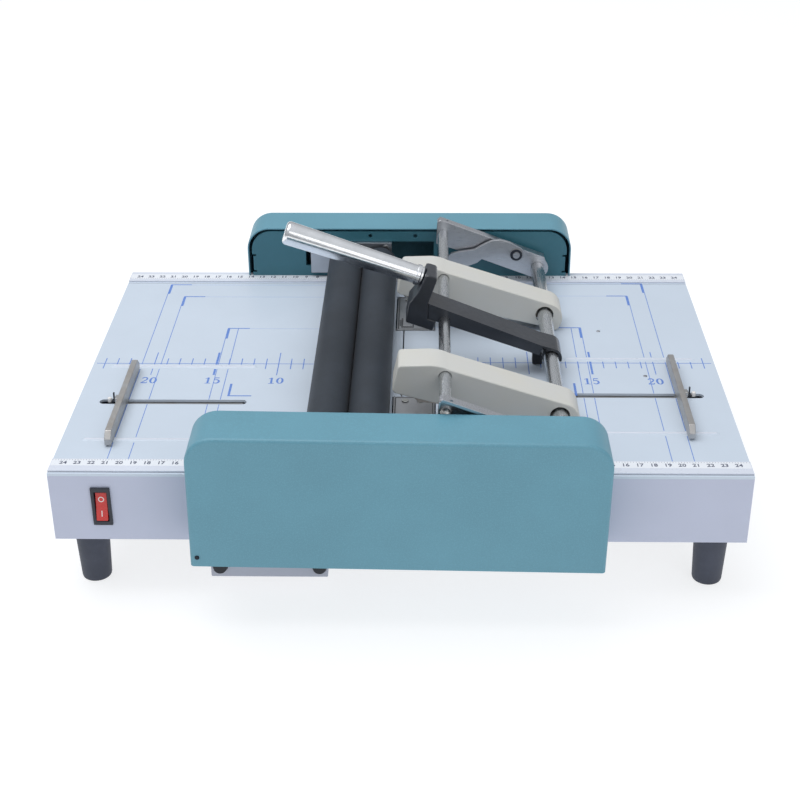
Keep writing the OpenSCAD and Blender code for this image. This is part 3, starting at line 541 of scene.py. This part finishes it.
def print_table(side):
    """Sheet outlines, centimetre ticks and numerals on one table panel; side is -1 on the left, 1 on the right."""
    left = side < 0
    node = "left_deck" if left else "right_deck"
    middle = slot_y("left_guide_bar" if left else "right_guide_bar")
    front_edge = box_mm("front_ruler_rail")[1].y
    lines, faint = Print(deck_level()), Print(deck_level())
    ribs = [(y - 3.9, y + 3.9) for y in (middle + (58.5 if left else 61), middle - 58)]
    slot_gap = (middle - 3.8, middle + 3.8)
    outlines = [(210, 148.4), (194.7, 123.2), (148.5, 59.8)] if left else [(210, 152.8), (194.2, 126.8), (147.8, 63)]
    tick_y = -4.2 if left else -0.8
    inner_x = 60 if left else 10
    for x, y in outlines:
        gaps = ribs + [slot_gap]
        corner_mark(lines, side * x, y, -side)
        long_line(lines, side * x, front_edge, y, gaps)
        faint.bar(side * (x - 19), side * inner_x, y + 0.1, y + 0.5)
    long_line(lines, side * 139.7, front_edge, outlines[2][1], ribs + [slot_gap])
    # small corner of the half-size sheet, in front of the numerals
    low = -57.5 if left else -54.5
    lines.bar(side * 135, side * 133.2, low, low + 19)
    lines.bar(side * 135, side * 116.5, low - 1.3, low)
    # centimetre ticks along the middle line
    faint_y = (tick_y - 0.35, tick_y + 0.35)
    lines.bar(side * 246.5, side * inner_x, *faint_y)
    for i in range(int(inner_x / 10), 25):
        reach = 19.5 if i in (10, 15, 20) else 9
        width = 1.7 if i == 15 else 0.75
        x = side * 10 * i
        gaps = ribs if 118 < 10 * i < 234 else []
        if any(abs(10 * i - outline[0]) < 0.5 for outline in outlines):
            continue
        long_line(lines, x, tick_y - reach, tick_y + reach, gaps, width)
    for number in (10, 15, 20):
        if left or number > 10:
            print_number(lines, number, (side * 10 * number + (0 if left else -2), -33 if left else -32))
    lines.add(node + ".print", "print_blue", "root", SLOT_OF[node])
    faint.add(node + ".faint_lines", "print_faint", "root", SLOT_OF[node])


def small_number(number, height):
    """A flat numeral as a mesh, centred, in metres."""
    curve = bpy.data.curves.new("numeral", "FONT")
    curve.body = str(number)
    curve.size = height * MM / 0.72
    curve.align_x, curve.align_y = "CENTER", "CENTER"
    curve.extrude = LIFT * MM
    curve.offset = 0.0001
    curve.resolution_u = 3
    holder = bpy.data.objects.new("numeral", curve)
    mesh = bpy.data.meshes.new_from_object(holder)
    bpy.data.objects.remove(holder)
    return mesh


def rail_tape(node):
    """White tape with numerals, millimetre edge line and centimetre ticks on a ruler rail."""
    low, high = box_mm(node)
    front = low.y < 0
    inner = high.y if front else low.y
    away = -1 if front else 1
    top = high.z
    near, far = (1.0, 9.7) if front else (4.5, 14.5)
    tape = Print(top)
    tape.bar(low.x + 0.6, high.x - 0.6, inner + away * near, inner + away * far)
    tape.add(node + ".tape", "tape_white", "root", "rail_paint")
    ink = Print(top + LIFT + 0.06)
    tick_row = inner + away * (near + 0.3)
    for i in range(-248, 249, 2):
        reach = 1.9 if i % 10 == 0 else 1.1
        ink.bar(i - 0.09, i + 0.09, tick_row, tick_row + away * reach)
    middle = inner + away * (near + far) / 2 - 0.5
    for number in range(1, 25):
        mesh = small_number(number, 4.0)
        for side in (-1, 1):
            turn = Matrix.Translation(Vector((side * (10 * number), middle, top + LIFT + 0.06)) * MM)
            before = len(ink.bm.verts)
            ink.bm.from_mesh(mesh)
            ink.bm.verts.ensure_lookup_table()
            bmesh.ops.transform(ink.bm, matrix=turn, verts=ink.bm.verts[before:])
        bpy.data.meshes.remove(mesh)
    ink.add(node + ".numerals", "tape_ink", "root", "rail_paint")


# ---- pieces ------------------------------------------------------------------

def side_cover(node):
    """Folded cover with a rounded outer edge."""
    low, high = box_mm(node)
    outer = (low.y if low.y < 0 else high.y) * MM

    def on_outer_rim(edge):
        return all(abs(v.co.y - outer) < 1e-5 for v in edge.verts) and any(
            abs(f.normal.y) < 0.3 for f in edge.link_faces) and all(f.normal.z > -0.9 for f in edge.link_faces)

    finished_node(node, 0.25, (2.6, 5, on_outer_rim), close_screw_holes)


def head_cover(node):
    """Moulded head: generous radius along both sides, small radii at the holes."""
    low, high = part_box(node)
    middle = (low.y + high.y) / 2
    half = (high.y - low.y) / 2
    holes = [(Vector((HINGE[0], 0, HINGE[1])) * MM, 8.2), (Vector((PRESS[0], 0, PRESS[1])) * MM, 5.5)]

    def on_side_rim(edge):
        if any(abs(abs(v.co.y - middle) - half) > 1e-5 for v in edge.verts):
            return False
        centre = (edge.verts[0].co + edge.verts[1].co) / 2
        return all((Vector((centre.x, 0, centre.z)) - hole).length > radius * MM for hole, radius in holes)

    finished_node(node, 0.2, (1.5, 4, on_side_rim))


def rollers():
    for node in ("left_roller", "right_roller"):
        low, high = box_mm(node)
        radius = (high.z - low.z) / 2
        length = high.y - low.y
        bore = 5
        outline = [(bore, 0), (radius - 1.2, 0), (radius - 0.35, 0.35), (radius, 1.2), (radius, length - 1.2),
                   (radius - 0.35, length - 0.35), (radius - 1.2, length), (bore, length), (bore, 0)]
        centre = ((low.x + high.x) / 2, low.y, (low.z + high.z) / 2)
        bm = spun(outline, centre, (0, 1, 0), 128)
        add_mesh(node + ".finished", to_mesh(bm, node), "roller_rubber", BODY_OF[node], (node,), 40)


def handle_block(node):
    """Cast block with a wide rounding along its upper edges."""
    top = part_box(node)[1].z

    def on_crown(edge):
        a, b = (v.co for v in edge.verts)
        return abs(a.x - b.x) < 1e-5 and abs(a.z - b.z) < 1e-5 and a.z > top - 14 * MM

    finished_node(node, 1.2, (2.6, 5, on_crown))


def switch_marks():
    """White circle and bar on the two halves of the rocker cap."""
    low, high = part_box("power_rocker")
    middle = (low + high) / 2
    cap = frame["nodes"]["power_rocker"].data
    halves = {}
    for polygon in cap.polygons:
        if polygon.normal.y < -0.9:
            halves.setdefault(polygon.center.z > middle.z, []).append(polygon)
    for name, upper in (("circle", True), ("bar", False)):
        faces = halves[upper]
        normal = faces[0].normal
        place = sum((cap.vertices[v].co for f in faces for v in f.vertices), Vector()) / sum(
            len(f.vertices) for f in faces)
        if name == "circle":
            bm = spun([(1.5, 0), (2.1, 0), (2.1, 0.06), (1.5, 0.06), (1.5, 0)], (0, 0, 0), (0, 0, 1), 40)
        else:
            bm = bmesh.new()
            plate(bm, (-0.32, -2.2, 0), (0.32, 2.2, 0.06))
        turn = normal.to_track_quat("Z", "Y").to_matrix().to_4x4()
        bmesh.ops.transform(bm, matrix=Matrix.Translation(Vector((middle.x, place.y, place.z))) @ turn,
                            verts=bm.verts)
        add_mesh("power_rocker." + name, to_mesh(bm, name), "mark_white_and_painted_glint", "switch")


def rib_sheen(side):
    """Painted highlight: a lighter strip over the crest of the two embossed ribs of a table panel."""
    node = "left_deck" if side < 0 else "right_deck"
    high = box_mm(node)[1]
    radius, half_angle, steps = 5.03, 13, 6
    centre_z = high.z - 5
    middle = slot_y("left_guide_bar" if side < 0 else "right_guide_bar")
    bm = bmesh.new()
    for y in (middle + (58.5 if side < 0 else 61), middle - (57.5 if side < 0 else 58)):
        ends = []
        for x in (119 if side < 0 else 131, 232):
            rows = []
            for r in (radius, radius - 0.06):
                rows.append([bm.verts.new(Vector((side * x, y + r * math.sin(a), centre_z + r * math.cos(a))) * MM)
                             for a in (math.radians(half_angle * (2 * i / steps - 1)) for i in range(steps + 1))])
            ends.append(rows[0] + rows[1][::-1])
        a, b = ends
        bm.faces.new(a)
        bm.faces.new(b)
        for i in range(len(a)):
            j = (i + 1) % len(a)
            bm.faces.new((a[i], a[j], b[j], b[i]))
    bmesh.ops.recalc_face_normals(bm, faces=bm.faces)
    # painted highlight: pale rail paint laid on the rib crests for the light they catch
    add_mesh(node + ".rib_painted_highlights", to_mesh(bm, "crests"), "rail_paint", "root")


def deck_rivets():
    """Two low rivet heads on the right panel."""
    top = deck_level()
    radius, height = 1.6, 0.6
    rim = [(radius * math.cos(math.radians(a)), height * math.sin(math.radians(a))) for a in range(0, 91, 15)]
    for name, x, y in (("rear", 161.9, 57.1), ("front", 191.1, -23.0)):
        bm = spun([(0, -0.3), (radius, -0.3)] + rim, (x, y, top), (0, 0, 1), 40)
        add_mesh("right_deck.rivet_" + name, to_mesh(bm, name), "gear_steel", "root")


def guide_fittings(node):
    """Clamping screw in the slot beside a guide bar, white as a painted highlight, and the dark clip on the bar's
    side.
    """
    low, high = box_mm(node)
    out = 1 if low.x > 0 else -1
    side = high.x if out > 0 else low.x
    y = slot_y(node)
    top = deck_level()
    screw = spun([(0, 0.1), (1.7, 0.1), (1.7, 3.0), (1.35, 3.5), (0.7, 3.7), (0, 3.7)],
                 (side + out * 3.4, y, top), (0, 0, 1), 48)
    # painted highlight: the screw gets the white marking ink to stand for its bright glint
    add_mesh(node + ".screw", to_mesh(screw, "screw"), "mark_white_and_painted_glint", BODY_OF[node])
    clip = bmesh.new()
    plate(clip, (side, y + 1.5, top + 0.4), (side + out * 1.0, y + 3.2, high.z - 4.5))
    plate(clip, (side, y - 2.5, top + 0.4), (side + out * 1.6, y + 1.5, top + 1.8))
    add_mesh(node + ".clip", to_mesh(clip, "clip"), "black_plastic", BODY_OF[node])


def anvil_outline(node, head):
    """Painted shade: dark flat bars for the shaded punched slots around the raised pad and along the edge of an
    anvil plate.
    """
    low, high = box_mm(node)
    head_low, head_high = box_mm(head)
    y = (head_low.y + head_high.y) / 2
    marks = Print(deck_level() + 0.3)
    thick = 0.9
    for x in (-5.2, -3.8):
        marks.bar(x, x + 0.8, y - 6, y + 6)
    for x0, x1, y0, y1 in ((-2.7, 7.7, y - 9.2, y + 9.2), (low.x + 1.1, high.x - 1.1, low.y + 1.1, high.y - 1.1)):
        marks.bar(x0, x0 + thick, y0, y1)
        marks.bar(x1 - thick, x1, y0, y1)
        marks.bar(x0, x1, y0, y0 + thick)
        marks.bar(x0, x1, y1 - thick, y1)
    # painted shade: near-black ink printed where the anvil's slots and gaps lie in shade
    marks.add(node + ".outline", "groove_painted_shade", "root", "anvil_steel")


def link_clip():
    """Black face of the spring clip on the pin that holds the curved link."""
    face = box_mm("arc_link")[0].y
    pin = joint["link_hinge"]["pos_m"]
    ring = spun([(3.15, 1.15), (5.3, 1.15), (5.3, 1.35), (3.15, 1.35), (3.15, 1.15)],
                (pin[0] / MM, face, pin[2] / MM), (0, -1, 0), 64)
    add_mesh("arc_link.clip", to_mesh(ring, "clip"), "black_plastic", "press_frame")


def rail_lines():
    """Thin shadow gaps beside the ruler rails."""
    edge = box_mm("front_ruler_rail")[0]
    end = box_mm("rear_ruler_rail")[0]
    lines = Print(deck_level())
    lines.bar(edge.x + 0.5, -edge.x - 0.5, edge.y - 0.5, edge.y)
    lines.bar(edge.x + 0.5, -edge.x - 0.5, end.y - 3.3, end.y - 2.8)
    lines.add("deck.rail_gaps", "groove_grey", "root", "deck_paint")


def build():
    special = {
        "front_side_cover": side_cover, "rear_side_cover": side_cover,
        "front_head_cover": head_cover, "rear_head_cover": head_cover,
        "handle_block": handle_block,
    }
    radii = {"lever_arm": 0.9, "power_rocker": 0.5, "lever_stop": 0.8, "left_guide_bar": 0.7,
             "right_guide_bar": 0.7, "chassis": 0.6, "motor_tray": 0.8, "front_side_arm": 0.3,
             "rear_side_arm": 0.3, "arc_link": 0.35, "feet": 1.0, "switch_bezel": 0.5}
    plain = {"return_springs", "left_deck", "right_deck", "handle_tube"}
    for node in frame["nodes"]:
        if node in special:
            special[node](node)
        elif node in plain:
            finished_node(node, 0)
        elif node not in ("left_roller", "right_roller"):
            finished_node(node, radii.get(node, 0.2))
    rollers()
    switch_marks()
    deck_rivets()
    link_clip()
    rail_lines()
    for node in ("left_guide_bar", "right_guide_bar"):
        guide_fittings(node)
    anvil_outline("front_anvil", "front_head_cover")
    anvil_outline("rear_anvil", "rear_head_cover")
    for side in (-1, 1):
        rib_sheen(side)
        print_table(side)
    for node in ("front_ruler_rail", "rear_ruler_rail"):
        rail_tape(node)


joint = {j["name"]: j for j in frame["joints"]}
HINGE = (joint["press_hinge"]["pos_m"][0] / MM, joint["press_hinge"]["pos_m"][2] / MM)
press_low, press_high = box_mm("press_shaft")
PRESS = ((press_low.x + press_high.x) / 2, (press_low.z + press_high.z) / 2)
looks = make_looks()
add_camera()
add_studio()
build()
